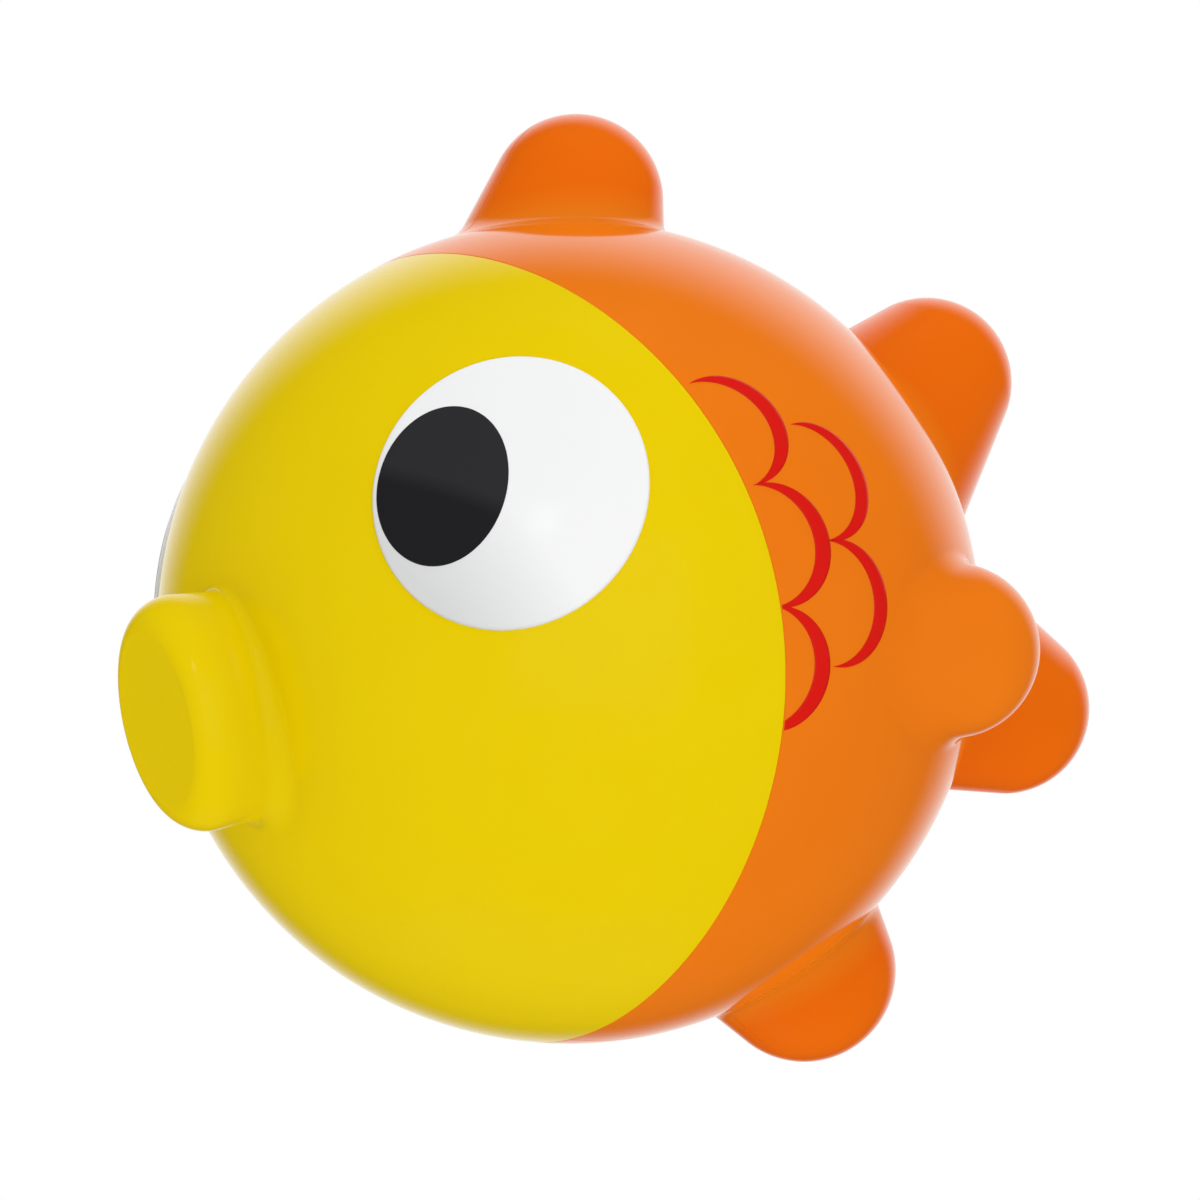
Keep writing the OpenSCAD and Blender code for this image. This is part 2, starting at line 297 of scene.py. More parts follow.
# %% Helpers for the curved seam
SEAM_R, SEAM_AHEAD = 108.0 * MM, 2.6 * MM
SEAM_CENTRE = SEAM_AHEAD + SEAM_R
# Radius of the tiny rounding along the shells' edges
EDGE = 0.12 * MM
# Points closer than this, in metres, are one point
SAME = 1e-7


def seam_depth(z):
    """Place along Y of the seam's arc at a height."""
    return np.sqrt(SEAM_R ** 2 - z ** 2) - SEAM_CENTRE


def cut(bm, point, away):
    """Cuts a bmesh by a plane through a point, and drops the side that the direction points at."""
    bmesh.ops.bisect_plane(bm, geom=bm.verts[:] + bm.edges[:] + bm.faces[:], dist=SAME,
                           plane_co=point, plane_no=away, clear_outer=True)


def cut_along_seam(bm, behind):
    """Cuts a level bmesh a little behind the seam, and keeps the tail's side."""
    for v in bm.verts:
        v.co.y -= seam_depth(v.co.z)
    cut(bm, (0, behind, 0), (0, -1, 0))
    for v in bm.verts:
        v.co.y += seam_depth(v.co.z)


print("the seam is", round(float(-seam_depth(0)) / MM, 2), "mm ahead of the ball's centre at mid height")

# %% Helpers for directions


def unit(vectors):
    """Vectors of length one."""
    return vectors / np.linalg.norm(vectors, axis=1, keepdims=True)


def column(*parts):
    """Points or directions from three lists of coordinates."""
    return np.stack(np.broadcast_arrays(*parts), axis=1)


def across_seam(points):
    """Direction at points of the seam that leads from the face to the body."""
    return column(0.0, 1.0, points[:, 2] / np.sqrt(SEAM_R ** 2 - points[:, 2] ** 2))


def along_skin(step, up):
    """A direction laid flat onto the skin, whose surface directions are up."""
    return unit(step - np.sum(step * up, axis=1, keepdims=True) * up)


# %% [markdown]
# ## Rim and lining of a shell
# A moulded shell has a tiny rounded edge where it meets its neighbour, and a wall. The Solidify modifier
# could give the wall, but not that rounded edge with it. So both grow from the open edge of the outer
# skin: the edge is extruded three times round a quarter circle, once more down the joint face, and a copy
# of the skin, drawn in by the wall's thickness and turned inside out, is bridged to it.

# %% Helper that gives a skin its rim and wall


def of_kind(geometry, kind):
    """The vertices, edges or faces among what an operator made."""
    return [g for g in geometry if isinstance(g, kind)]


def rim_and_wall(bm, ways, into_joint, outward=None):
    """Closes an open skin into a shell, from its surface directions and those across its joints.

    The lining lies a wall's thickness under the skin, against outward or else the surface directions.
    """
    skin = bm.faces[:]
    mark = bm.verts.layers.int.new("edge_place")
    shade = bm.verts.layers.float_vector.new("shade")
    depth = bm.verts.layers.float_vector.new("depth")
    for v, way, out in zip(bm.verts, ways, ways if outward is None else outward):
        v[shade] = way
        v[depth] = WALL * out
    lining = bmesh.ops.duplicate(bm, geom=skin)["geom"]
    for v in of_kind(lining, bmesh.types.BMVert):
        v.co -= v[depth]
        v[shade] = -v[shade]
    bmesh.ops.reverse_faces(bm, faces=of_kind(lining, bmesh.types.BMFace))
    lining_edge = [e for e in of_kind(lining, bmesh.types.BMEdge) if e.is_boundary]
    skin_edge = [e for e in bm.edges if e.is_boundary and e not in set(lining_edge)]
    rim = list({v for e in skin_edge for v in e.verts})
    for i, v in enumerate(rim):
        v[mark] = i
    home = np.array([v.co for v in rim])
    up = np.array([v[shade] for v in rim])
    side = into_joint(home, up)
    quarter = [math.pi / 6, math.pi / 3, math.pi / 2]
    steps = [(EDGE * math.sin(angle), EDGE * (1 - math.cos(angle)), angle) for angle in quarter]
    steps.append((EDGE, WALL, math.pi / 2))
    for over, down, angle in steps:
        made = bmesh.ops.extrude_edge_only(bm, edges=skin_edge)["geom"]
        skin_edge = of_kind(made, bmesh.types.BMEdge)
        for v in of_kind(made, bmesh.types.BMVert):
            i = v[mark]
            v.co = home[i] + over * side[i] - down * up[i]
            v[shade] = math.cos(angle) * up[i] + math.sin(angle) * side[i]
    bmesh.ops.bridge_loops(bm, edges=skin_edge + lining_edge)
    bm.verts.index_update()
    return np.array([v[shade] for v in bm.verts])


# %% [markdown]
# ## The face
# The yellow face is one moulding: the front of the ball with an oval snout, flat at its tip. The snout's
# rim is well rounded, its neck is slimmer than its lip, and a fillet that widens below leads into the
# ball. A boolean of ball and snout would leave thin slivers there. So a flat target of 134 rings is spun
# first, and each ring is moved to its place on the snout, the fillet or the ball, the last one onto the
# seam. That keeps every face a tidy quad up to the edge.

# %% Spin a target of rings
SNOUT_UP, SNOUT_ACROSS = 12.9 * MM, 9.0 * MM
SNOUT_FRONT, SNOUT_DROP = BALL_R + 9.0 * MM, 0.35 * MM
RIM_OUT, RIM_BACK = 3.5 * MM, 4.4 * MM
FACE_STEPS = 256
bands = {"flat": 14, "rim": 16, "side": 4, "fillet": 10, "ball": 90}

face = bmesh.new()
line = [face.verts.new((ring * MM, 0, 0)) for ring in range(sum(bands.values()) + 1)]
line_edges = [face.edges.new(pair) for pair in zip(line, line[1:])]
bmesh.ops.spin(face, geom=line + line_edges, cent=(0, 0, 0), axis=(0, 1, 0), angle=2 * math.pi,
               steps=FACE_STEPS, use_merge=True)
bmesh.ops.remove_doubles(face, verts=face.verts, dist=SAME)
target = np.array([v.co for v in face.verts])
ring = np.rint(np.hypot(target[:, 0], target[:, 2]) / MM)
round_nose = np.arctan2(target[:, 2], target[:, 0])
print("rings:", int(ring.max()), "vertices:", len(ring))

# %% Lay out the neck, its fillet and the seam
NECK_UP, NECK_DOWN, NECK_ACROSS = 12.35 * MM, 12.7 * MM, 7.9 * MM
# The fillet is 1 mm wide above and widens to 3.4 mm below, where the snout flows into the chin
FILLET_BESIDE, FILLET_CHANGE = 2.2 * MM, 1.2 * MM
SEAM_TRIES = 30

sideways, upward = np.cos(round_nose), np.sin(round_nose)
flank = sideways * SNOUT_UP / SNOUT_ACROSS
side_way = unit(column(flank, 0.0, upward))
neck_rise = np.where(upward > 0, NECK_UP, NECK_DOWN) * upward
neck = column(NECK_ACROSS * sideways, 0.0, neck_rise - SNOUT_DROP)
fillet = (FILLET_BESIDE - FILLET_CHANGE * upward)[:, None]
core = neck + fillet * side_way
core[:, 1] = -np.sqrt((BALL_R + fillet[:, 0]) ** 2 - np.sum(core ** 2, axis=1))
core_way = unit(core)
ball_start = np.arccos(-core_way[:, 1])
tilt = core_way[:, 2] / np.sin(ball_start)
# The seam's angle depends on its own height, so it is found by trying again with each result
seam_polar = np.full(len(ring), math.pi / 2)
for _ in range(SEAM_TRIES):
    seam_polar = np.arccos((EDGE - seam_depth(BALL_R * np.sin(seam_polar) * tilt)) / BALL_R)
print("seam angles:", np.degrees([seam_polar.min(), seam_polar.max()]).round(1), "degrees from the nose")

# %% Places on the bands of the face


def snout_ring(out, forward):
    """Points of the squeezed snout, by their distance out from the nose line and along it."""
    return column(SNOUT_ACROSS / SNOUT_UP * sideways * out, -forward, upward * out - SNOUT_DROP)


def face_surface(band, share):
    """Places and surface directions on one band of the face, by the share of the way across it."""
    if band == "flat":
        return snout_ring((SNOUT_UP - RIM_OUT) * share, SNOUT_FRONT), column(0 * share, -1.0, 0.0)
    if band == "rim":
        a = (1 - share) * math.pi / 2
        place = snout_ring(SNOUT_UP - RIM_OUT * (1 - np.cos(a)), SNOUT_FRONT - RIM_BACK * (1 - np.sin(a)))
        lean = RIM_BACK / RIM_OUT * np.cos(a)
        return place, unit(column(lean * flank, -np.sin(a), lean * upward))
    if band == "side":
        lip = snout_ring(SNOUT_UP, SNOUT_FRONT - RIM_BACK)
        foot = core - fillet * side_way
        return lip + (foot - lip) * share[:, None], side_way
    if band == "fillet":
        turn = np.arccos(np.sum(side_way * core_way, axis=1))
        way = np.sin((1 - share) * turn)[:, None] * side_way + np.sin(share * turn)[:, None] * core_way
        way /= np.sin(turn)[:, None]
        return core - fillet * way, way
    polar = ball_start + (seam_polar - ball_start) * share
    sweep = core_way[:, 0] / np.sin(ball_start)
    way = column(sweep * np.sin(polar), -np.cos(polar), tilt * np.sin(polar))
    return BALL_R * way, way


# %% Move the rings to their places
places, face_ways = np.zeros_like(target), np.zeros_like(target)
first = 0
for band, count in bands.items():
    share = np.clip((ring - first) / count, 0, 1)
    chosen = (ring > first) | (first == 0)
    place, way = face_surface(band, share)
    places[chosen], face_ways[chosen] = place[chosen], way[chosen]
    first += count
for v, place in zip(face.verts, places):
    v.co = place
bmesh.ops.recalc_face_normals(face, faces=face.faces)
print("snout front:", round(float(-places[:, 1].min()) / MM, 2), "mm ahead of the ball's centre")

# %% Close the face into a shell


def towards_body(points, up):
    """Direction along the face's skin that points across the seam at the body."""
    return along_skin(across_seam(points), up)


# Under the snout's tight rim the lining follows directions that turn slowly, so that it doesn't fold
snout_rings = bands["flat"] + bands["rim"]
turned = np.clip(ring / snout_rings, 0, 1)[:, None] * math.pi / 2
slow_ways = np.sin(turned) * side_way - np.cos(turned) * np.array([[0.0, 1.0, 0.0]])
slow_ways = np.where(ring[:, None] <= snout_rings, slow_ways, face_ways)
face_ways = rim_and_wall(face, face_ways, towards_body, slow_ways)
hand_over("face_skin", face, yellow_abs, "face_shell", face_ways)

# %% [markdown]
# ## The body
# The orange body is moulded in two halves that meet on the fish's middle plane. Ball and fins flow
# together with a fillet about a millimetre wide. Booleans and a bevel would stumble on those long curved
# creases, so the ball and fins are first laid over each other as closed forms, and a voxel remesh melts
# them into one even skin. Each point is then moved onto the exact surface, which is known as a distance:
# how far a point lies from the ball, from each fin, and from the fillet between them.

# %% Fins of the left side
FIN_FILLET = 1.3 * MM
ROOT_REACH = BALL_R - 16.2 * MM
TAIL_ANGLE, TAIL_TIP_SPREAD, TAIL_ROOT_SPREAD = 89.5, 19, 6.7
TAIL_PAST, TAIL_TIP_R, TAIL_ROOT_R = 12.5 * MM, 9.5 * MM, 18.0 * MM
SIDE_DROP, SIDE_TIP_BACK, SIDE_ROOT_BACK = 15.5, 38, 18
SIDE_TIP_REACH, SIDE_ROOT_REACH = BALL_R - 1.3 * MM, BALL_R - 13.5 * MM


def on_middle(angle, reach):
    """Point on the fish's middle plane, by its angle from straight up towards the tail."""
    a = math.radians(angle)
    return np.array((0.0, reach * math.sin(a), reach * math.cos(a)))


def on_flank(back, drop, reach):
    """Point on the left flank, by its angle towards the tail and its angle below the middle."""
    b, d = math.radians(back), math.radians(drop)
    return reach * np.array((math.cos(b) * math.cos(d), math.sin(b) * math.cos(d), -math.sin(d)))


# Fins of the middle line: angle of the tip, how far its centre is past the ball, its radius, then the
# angle and radius of the root
middle_fins = [
    (16.4, 3.2 * MM, 9.6 * MM, 6.6, 14.5 * MM),
    (BOTTOM_ANGLE, BOTTOM_PAST, BOTTOM_TIP_R, 154.7, 14.7 * MM),
    (TAIL_ANGLE - TAIL_TIP_SPREAD, TAIL_PAST, TAIL_TIP_R, TAIL_ANGLE - TAIL_ROOT_SPREAD, TAIL_ROOT_R),
    (TAIL_ANGLE + TAIL_TIP_SPREAD, TAIL_PAST, TAIL_TIP_R, TAIL_ANGLE + TAIL_ROOT_SPREAD, TAIL_ROOT_R),
]
fins = [(on_middle(tip, BALL_R + past), tip_r, on_middle(root, ROOT_REACH), root_r)
        for tip, past, tip_r, root, root_r in middle_fins]
fins.append((on_flank(SIDE_TIP_BACK, SIDE_DROP, SIDE_TIP_REACH), 9.5 * MM,
             on_flank(SIDE_ROOT_BACK, SIDE_DROP, SIDE_ROOT_REACH), 12.4 * MM))
print("fin lengths:", [round(float(np.linalg.norm(fin[0] - fin[2])) / MM, 1) for fin in fins], "mm")

# %% Distance from the body


def fin_distance(points, tip, tip_r, root, root_r):
    """Distance of points from a tapered fin with round ends."""
    span = tip - root
    length = np.linalg.norm(span)
    lean = (root_r - tip_r) / length
    flat = math.sqrt(1 - lean * lean)
    from_root = points - root
    along = from_root @ (span / length)
    across = np.sqrt(np.maximum(np.sum(from_root ** 2, axis=1) - along ** 2, 0))
    slant = along * flat - across * lean
    beside = across * flat + along * lean - root_r
    at_root = np.hypot(along, across) - root_r
    at_tip = np.hypot(along - length, across) - tip_r
    return np.where(slant < 0, at_root, np.where(slant > length * flat, at_tip, beside))


def body_distance(points):
    """Distance of points from the ball and fins, joined with round fillets."""
    near = np.linalg.norm(points, axis=1) - BALL_R
    for fin in fins:
        other = fin_distance(points, *fin)
        corner = np.hypot(np.maximum(FIN_FILLET - near, 0), np.maximum(FIN_FILLET - other, 0))
        near = np.maximum(FIN_FILLET, np.minimum(near, other)) - corner
    return near


def body_outward(points):
    """Surface direction of the body, from how the distance grows over a very short step."""
    step = 0.004 * MM
    return unit(column(*[body_distance(points + step * axis) - body_distance(points - step * axis)
                         for axis in np.eye(3)]))


# %% Melt the ball and fins into one skin
MELT_VOXEL = 0.62 * MM

melt = bmesh.new()
bmesh.ops.create_uvsphere(melt, u_segments=128, v_segments=64, radius=BALL_R)
for tip, tip_r, root, root_r in fins:
    span = Vector(tip - root)
    turn = span.to_track_quat("Z", "Y").to_matrix().to_4x4()
    middle = Matrix.Translation(Vector((tip + root) / 2)) @ turn
    bmesh.ops.create_cone(melt, cap_ends=True, segments=64, radius1=root_r, radius2=tip_r,
                          depth=span.length, matrix=middle)
    bmesh.ops.create_uvsphere(melt, u_segments=64, v_segments=32, radius=tip_r,
                              matrix=Matrix.Translation(Vector(tip)))
melt_mesh = bpy.data.meshes.new("melt")
melt.to_mesh(melt_mesh)
melt.free()
melt_object = bpy.data.objects.new("melt", melt_mesh)
bpy.context.scene.collection.objects.link(melt_object)
remesh = melt_object.modifiers.new("even_skin", "REMESH")
remesh.mode, remesh.voxel_size = "VOXEL", MELT_VOXEL
melted = melt_object.evaluated_get(bpy.context.evaluated_depsgraph_get())
skin_mesh = bpy.data.meshes.new_from_object(melted)
bpy.data.objects.remove(melt_object)
print("melted skin:", len(skin_mesh.polygons), "faces")

# %% Move the skin onto the exact surface and cut the left half
SETTLE_MOVES = 8

body = bmesh.new()
body.from_mesh(skin_mesh)
points = np.array([v.co for v in body.verts])
for _ in range(SETTLE_MOVES):
    points = points - body_distance(points)[:, None] * body_outward(points)
for v, point in zip(body.verts, points):
    v.co = point
cut_along_seam(body, EDGE)
cut(body, (EDGE, 0, 0), (-1, 0, 0))
print("left skin:", len(body.faces), "faces")

# %% Close both halves into shells
# A point this close to a cut, in metres, lies on it
ON_CUT = 1e-6
TO_MIDDLE = np.array([[-1.0, 0.0, 0.0]])
MIRROR = np.array([-1.0, 1.0, 1.0])


def towards_neighbours(points, up):
    """Direction along the body's skin that points across the seam or the middle plane."""
    at_seam = np.abs(points[:, 1] - seam_depth(points[:, 2]) - EDGE) < ON_CUT
    at_middle = np.abs(points[:, 0] - EDGE) < ON_CUT
    ways = np.zeros_like(points)
    for chosen, step in ((at_seam, -across_seam(points)), (at_middle, TO_MIDDLE)):
        ways += chosen[:, None] * along_skin(step, up)
    return ways


body_points = np.array([v.co for v in body.verts])
body_ways = rim_and_wall(body, body_outward(body_points), towards_neighbours)
right_body = mirrored(body.copy())
hand_over("body_skin_left", body, orange_abs, "body_left", body_ways)
hand_over("body_skin_right", right_body, orange_abs, "body_right", body_ways * MIRROR)

# %% [markdown]
# ## Eyes and pupils
# An eye is a slightly oval white disc that stands a little proud of the cheek, and the black pupil is an
# oval inlay near its front edge. Both curve with the ball. They could be cut out of larger balls, but an
# edge made that way is hard to round. So an outline of the disc with its rounded edge is spun flat,
# squeezed to its oval and leaned over. Only then is it lifted onto the dome, which keeps its edge equally
# high all round.

# %% Helpers for domed ovals
OVAL_RINGS, OVAL_STEPS, ROUND_STEPS = 40, 192, 6


def aim(turn, lift):
    """Matrix that points +Z out at a place on the face, with +Y up along the ball."""
    return Matrix.Rotation(math.radians(turn), 4, "Z") @ Matrix.Rotation(math.radians(90 - lift), 4, "X")


def arc(centre_out, centre_up, radius, start, end, steps):
    """Points of an arc after its first, as distances out from an axis and along it."""
    angles = [start + (end - start) * i / steps for i in range(1, steps + 1)]
    return [(centre_out + radius * math.cos(a), centre_up + radius * math.sin(a)) for a in angles]


def domed_oval(tall, wide, lean, thick, rounding, dome, place):
    """Oval disc with a rounded edge, bent onto a dome and aimed at its place on the face."""
    line = [(tall - rounding) * i / OVAL_RINGS for i in range(OVAL_RINGS + 1)]
    profile = [(out, 0.0) for out in line]
    profile += arc(tall - rounding, -rounding, rounding, math.pi / 2, 0, ROUND_STEPS)
    profile += [(out, -thick) for out in [tall] + line[::-1]]
    bm = bmesh.new()
    points = [bm.verts.new((out, 0, up)) for out, up in profile]
    edges = [bm.edges.new(pair) for pair in zip(points, points[1:])]
    bmesh.ops.spin(bm, geom=points + edges, cent=(0, 0, 0), axis=(0, 0, 1), angle=2 * math.pi,
                   steps=OVAL_STEPS, use_merge=True)
    bmesh.ops.remove_doubles(bm, verts=bm.verts, dist=SAME)
    bmesh.ops.recalc_face_normals(bm, faces=bm.faces)
    bmesh.ops.scale(bm, vec=(wide / tall, 1, 1), verts=bm.verts)
    leaned = Matrix.Rotation(math.radians(-lean), 3, "Z")
    bmesh.ops.rotate(bm, cent=(0, 0, 0), matrix=leaned, verts=bm.verts)
    for v in bm.verts:
        v.co.z += math.sqrt(dome ** 2 - v.co.x ** 2 - v.co.y ** 2)
    bmesh.ops.transform(bm, matrix=place, verts=bm.verts)
    return bm


# %% Eyes and pupils
EYE_TALL, EYE_WIDE, EYE_LEAN = 15.55 * MM, 14.85 * MM, 20.8
EYE_PROUD, EYE_SEAT, EYE_ROUND = 0.4 * MM, 1.2 * MM, 0.3 * MM
PUPIL_TALL, PUPIL_WIDE, PUPIL_LEAN = 9.1 * MM, 7.33 * MM, 15.3
PUPIL_PROUD, PUPIL_SEAT, PUPIL_ROUND = 0.05 * MM, 0.5 * MM, 0.04 * MM
eye_place, pupil_place = aim(52.6, 19.85), aim(43.1, 22.0)
eye_dome = BALL_R + EYE_PROUD

for side in ("left", "right"):
    eye = domed_oval(EYE_TALL, EYE_WIDE, EYE_LEAN, EYE_PROUD + EYE_SEAT, EYE_ROUND, eye_dome, eye_place)
    pupil = domed_oval(PUPIL_TALL, PUPIL_WIDE, PUPIL_LEAN, PUPIL_PROUD + PUPIL_SEAT, PUPIL_ROUND,
                       eye_dome + PUPIL_PROUD, pupil_place)
    if side == "right":
        eye, pupil = mirrored(eye), mirrored(pupil)
    hand_over(f"eye_dome_{side}", eye, eye_abs, f"eye_{side}")
    hand_over(f"pupil_oval_{side}", pupil, pupil_abs, f"pupil_{side}")

# %% [markdown]
# ## Painted shade and reflection in the eyes
# The white of an eye is painted light grey towards its lower front edge: a painted shade, where the eye takes
# less light. A pupil is painted darker in its lower half, with a soft boundary that rises towards the nose,
# so that its lighter upper half is a painted reflection of a soft window. A lamp could shade them so, but it
# would shade the cheek as well. So both finishes get a tint that grows along one direction.

# %% Painted shade and reflection in the eyes
EYE_PAINTED_SHADE, EYE_PAINTED_SHADE_START, EYE_PAINTED_SHADE_END = "#e3e3e3", 1.4 * MM, 11.5 * MM
PUPIL_PAINTED_REFLECTION, PUPIL_PAINTED_REFLECTION_START, PUPIL_PAINTED_REFLECTION_END = "#c5c5c5", -28.9 * MM, -26.9 * MM
low_front, down_front = Vector((0, -0.848, -0.530)), Vector((0, -0.512, -0.859))


def paint_shade_along(material, way, start, end, tint):
    """Paints shade into a finish more and more along a direction, between two distances from the origin."""
    place = add(material, "ShaderNodeTexCoord")
    depth = add(material, "ShaderNodeVectorMath", {"operation": "DOT_PRODUCT", 1: way},
                {0: (place, "Object")})
    paint_shade_between(material, depth, start, end, tint)


# The eye's painted shade is measured from the middle of the eye
eye_middle = low_front.dot(SIT @ eye_place @ Vector((0, 0, eye_dome)))
paint_shade_along(eye_abs, low_front, eye_middle + EYE_PAINTED_SHADE_START, eye_middle + EYE_PAINTED_SHADE_END, EYE_PAINTED_SHADE)
# Painted reflection: the pupil's lower half is darkened, and its lighter upper half stands for a soft window
# in the gloss
paint_shade_along(pupil_abs, down_front, PUPIL_PAINTED_REFLECTION_START, PUPIL_PAINTED_REFLECTION_END, PUPIL_PAINTED_REFLECTION)
print("the eye's shade begins", round(EYE_PAINTED_SHADE_START / MM, 1), "mm past its middle")

# %% [markdown]
# ## Printed scales
# Red fish scales are pad-printed on each flank: crescents with pointed ends, thick in the middle. They
# could be a pattern in the orange finish, but thin pieces of ink keep a crisp edge from any distance. Each
# crescent is the strip between two arcs. It is drawn on a flat chart of the flank, wrapped onto the ball,
# trimmed at the seam and given the thickness of a good coat of ink.

# %% Chart of the scales
PRINT_BACK = math.radians(5)
# Outer arc and inner arc of each crescent: centre towards the tail, centre up, radius, in millimetres
crescents = [
    ((-5.49, 16.36, 6.79), (-7.49, 16.09, 6.70)),
    ((-5.25, 2.81, 6.86), (-7.23, 3.04, 6.72)),
    ((-7.89, -10.33, 6.75), (-9.92, -9.77, 6.72)),
    ((3.03, 8.71, 6.85), (1.10, 8.87, 6.71)),
    ((1.52, -4.69, 6.89), (-0.47, -4.42, 6.78)),
]
chart_out = np.array((math.cos(PRINT_BACK), math.sin(PRINT_BACK), 0))
chart_back = np.array((-math.sin(PRINT_BACK), math.cos(PRINT_BACK), 0))
chart_up = np.array((0, 0, 1.0))


def meeting_points(one, other):
    """The two points where two circles cross."""
    a, b = np.array(one[:2]), np.array(other[:2])
    gap = np.linalg.norm(b - a)
    along = (one[2] ** 2 - other[2] ** 2 + gap ** 2) / (2 * gap)
    half = math.sqrt(one[2] ** 2 - along ** 2)
    across = np.array((-(b - a)[1], (b - a)[0])) / gap
    return a + (b - a) / gap * along + half * across, a + (b - a) / gap * along - half * across


def on_arc(circle, start, end, share):
    """Point a share of the way round an arc that bulges towards the tail."""
    first = math.atan2(start[1] - circle[1], start[0] - circle[0])
    last = math.atan2(end[1] - circle[1], end[0] - circle[0])
    low, high = min(first, last), max(first, last)
    angle = low + (high - low) * share
    return np.array((circle[0] + circle[2] * math.cos(angle), circle[1] + circle[2] * math.sin(angle)))


def wrap(flat, height):
    """Wraps a point of the flank's chart, in millimetres, onto the ball."""
    out = float(np.linalg.norm(flat))
    way = (flat[0] * chart_back + flat[1] * chart_up) / max(out, 1e-9)
    turn = out * MM / BALL_R
    return Vector((chart_out * math.cos(turn) + way * math.sin(turn)) * (BALL_R + height))


print("crescents on each flank:", len(crescents))

# %% Print the scales
INK = 0.05 * MM
STRIP_LONG, STRIP_ACROSS = 64, 6
# The ink ends this far behind the seam, clear of the rounded edge
PRINT_BEHIND = EDGE * 1.2


def scale_print():
    """All the crescents of the left flank as one print."""
    bm = bmesh.new()
    for outer, inner in crescents:
        start, end = meeting_points(outer, inner)
        strip = bmesh.ops.create_grid(bm, x_segments=STRIP_LONG, y_segments=STRIP_ACROSS, size=0.5)["verts"]
        for v in strip:
            share, across = v.co.x + 0.5, v.co.y + 0.5
            inside, outside = on_arc(inner, start, end, share), on_arc(outer, start, end, share)
            v.co = wrap(inside * (1 - across) + outside * across, INK)
    bmesh.ops.remove_doubles(bm, verts=bm.verts, dist=2e-6)
    bmesh.ops.dissolve_degenerate(bm, edges=bm.edges, dist=1e-6)
    cut_along_seam(bm, PRINT_BEHIND)
    for face in bm.faces:
        face.normal_update()
        if face.normal.dot(face.calc_center_median()) < 0:
            face.normal_flip()
    lifted = bmesh.ops.extrude_face_region(bm, geom=bm.faces[:])["geom"]
    under = set(bm.verts) - set(of_kind(lifted, bmesh.types.BMVert))
    for v in under:
        v.co *= (BALL_R - 2 * INK) / v.co.length
    bmesh.ops.recalc_face_normals(bm, faces=bm.faces)
    return bm


hand_over("scale_print_left", scale_print(), scale_ink)
hand_over("scale_print_right", mirrored(scale_print()), scale_ink)

# %% [markdown]
# ## Floor
# A catalogue picture of such a toy is taken on matt white paper in a white tent. Paper that simply ends
# would show a grey edge against the tent, so away from the fish it runs out into a white glow. From below
# it is clear, because this picture looks up from just under the table. It takes the fish's shadow, but
# gives no light or shadow back, so that the lamps below it reach the fish.

# %% Floor
FIBRE_PATCH = 1.5 * MM
RUN_OUT_START, RUN_OUT_END, GLOW_UNDER_FISH = 70 * MM, 260 * MM, 0.25
FLOOR_R = 1.6
WHITE = linear("#ffffff")

# Matt paper: no gloss at all, only a faint mottle of fibres
paper, output = new_material("white_paper_floor")
place = add(paper, "ShaderNodeTexCoord")
fibre = add(paper, "ShaderNodeTexNoise", {"Scale": 1 / FIBRE_PATCH, "Detail": 4.0},
            {"Vector": (place, "Object")})
tone = add(paper, "ShaderNodeMix", {"data_type": "RGBA", 6: linear("#f4f4f4"), 7: linear("#fafafa")},
           {0: (fibre, "Fac")})
sheet = add(paper, "ShaderNodeBsdfDiffuse", None, {"Color": (tone, 2)})
far = add(paper, "ShaderNodeVectorMath", {"operation": "LENGTH"}, {0: (place, "Object")})
run_out = add(paper, "ShaderNodeMapRange",
              {"interpolation_type": "SMOOTHSTEP", "From Min": RUN_OUT_START, "From Max": RUN_OUT_END,
               "To Min": GLOW_UNDER_FISH}, {"Value": (far, "Value")})
glow = add(paper, "ShaderNodeEmission", {"Color": WHITE, "Strength": 1.0})
lit = add(paper, "ShaderNodeMixShader", None, {0: (run_out, "Result"), 1: (sheet, 0), 2: (glow, 0)})
below = add(paper, "ShaderNodeNewGeometry")
clear = add(paper, "ShaderNodeBsdfTransparent")
choice = add(paper, "ShaderNodeMixShader", None, {0: (below, "Backfacing"), 1: (lit, 0), 2: (clear, 0)})
paper.node_tree.links.new(choice.outputs[0], output.inputs["Surface"])

floor = bmesh.new()
bmesh.ops.create_circle(floor, cap_ends=True, segments=96, radius=FLOOR_R)
floor_mesh = bpy.data.meshes.new("paper_floor")
floor.to_mesh(floor_mesh)
floor.free()
floor_mesh.materials.append(paper)
floor_piece = bpy.data.objects.new("paper_floor", floor_mesh)
bpy.context.scene.collection.objects.link(floor_piece)
floor_piece.visible_diffuse = floor_piece.visible_glossy = floor_piece.visible_shadow = False
print("floor:", round(2 * FLOOR_R, 1), "m across")

# %% [markdown]
# ## The white tent
# A tent lights a toy evenly from all round, and its bright back wall shows in the gloss as broad pale
# rims. One white world could do both, but then the gloss would turn every surface milky. Light Path tells
# the rays apart: colour is lit by the even tent, gloss mirrors only a bright patch behind the fish, and
# the camera sees plain white.

# %% World
TENT_LIGHT, DARK_SIDE = 0.81, 0.02
PATCH_WIDE, PATCH_FULL = math.radians(50), math.radians(14)
PATCH_WAY = Vector((-0.686, 0.569, 0.453))

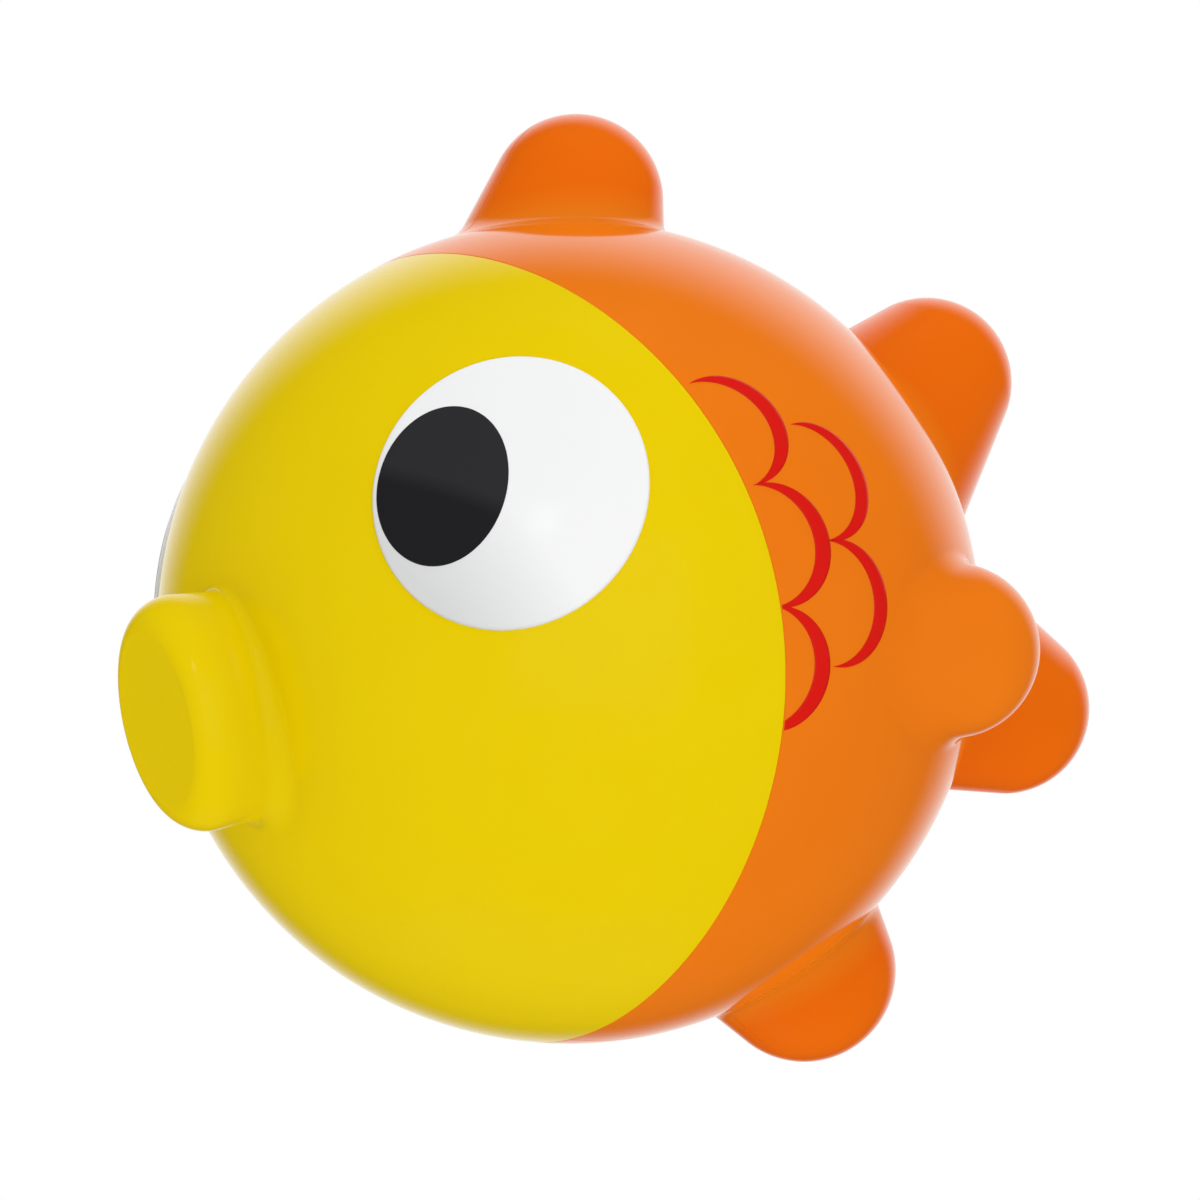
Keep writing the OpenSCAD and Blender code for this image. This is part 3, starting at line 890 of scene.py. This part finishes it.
world = bpy.data.worlds.new("white_tent")
bpy.context.scene.world = world
world.use_nodes = True
world.node_tree.nodes.clear()
seen = add(world, "ShaderNodeLightPath")
way = add(world, "ShaderNodeTexCoord")
near = add(world, "ShaderNodeVectorMath", {"operation": "DOT_PRODUCT", 1: PATCH_WAY},
           {0: (way, "Generated")})
fade = add(world, "ShaderNodeMapRange",
           {"interpolation_type": "SMOOTHSTEP", "From Min": math.cos(PATCH_WIDE),
            "From Max": math.cos(PATCH_FULL), "To Min": DARK_SIDE, "To Max": 1.0}, {"Value": (near, "Value")})
shine = add(world, "ShaderNodeBackground", {"Color": WHITE}, {"Strength": (fade, "Result")})
tent = add(world, "ShaderNodeBackground", {"Color": WHITE, "Strength": TENT_LIGHT})
white = add(world, "ShaderNodeBackground", {"Color": WHITE, "Strength": 1.0})
bounced = add(world, "ShaderNodeMixShader", None, {0: (seen, "Is Glossy Ray"), 1: (tent, 0), 2: (shine, 0)})
pick = add(world, "ShaderNodeMixShader", None, {0: (seen, "Is Camera Ray"), 1: (bounced, 0), 2: (white, 0)})
add(world, "ShaderNodeOutputWorld", None, {"Surface": (pick, 0)})
print("tent light:", TENT_LIGHT)

# %% [markdown]
# ## Lamps
# Soft boxes round the fish bring its colours to the level of the picture. A real box would also show in
# the gloss. Here each lamp does one job, so that both can be matched on their own: five large boxes light
# only the colour, and one small window shows only as a glint.

# %% Lamps
FISH_MIDDLE = Vector((0, 5 * MM, BALL_R))
BOX_FAR, BOX_WIDE = 0.9, 0.8
WINDOW_FAR, WINDOW_WIDE = 1.2, 0.16
# Turn round the fish and lift, in degrees, and power in watts
boxes = {
    "key_box": (66, -8, 3.0),
    "top_box": (200, 75, 2.6),
    "back_box": (195, 0, 2.1),
    "low_box": (250, -60, 2.9),
    "left_box": (300, 10, 0.9),
}


def soft_lamp(name, turn, lift, far, wide, power, mirrored_only=False):
    """Square soft lamp that points at the fish, for its colour or only for its gloss."""
    data = bpy.data.lights.new(name, "AREA")
    data.shape, data.size, data.size_y, data.energy = "RECTANGLE", wide, wide, power
    lamp = bpy.data.objects.new(name, data)
    bpy.context.scene.collection.objects.link(lamp)
    t, e = math.radians(turn), math.radians(lift)
    way = Vector((math.sin(t) * math.cos(e), -math.cos(t) * math.cos(e), math.sin(e)))
    facing = way.to_track_quat("Z", "Y").to_matrix().to_4x4()
    lamp.matrix_world = Matrix.Translation(FISH_MIDDLE + far * way) @ facing
    lamp.visible_camera = False
    lamp.visible_diffuse, lamp.visible_glossy = not mirrored_only, mirrored_only


for name, (turn, lift, power) in boxes.items():
    soft_lamp(name, turn, lift, BOX_FAR, BOX_WIDE, power)
soft_lamp("small_window", 51, 20, WINDOW_FAR, WINDOW_WIDE, 0.08, mirrored_only=True)
bpy.context.scene.view_settings.view_transform = "Standard"
print("lamps:", ", ".join(light.name for light in bpy.data.lights))
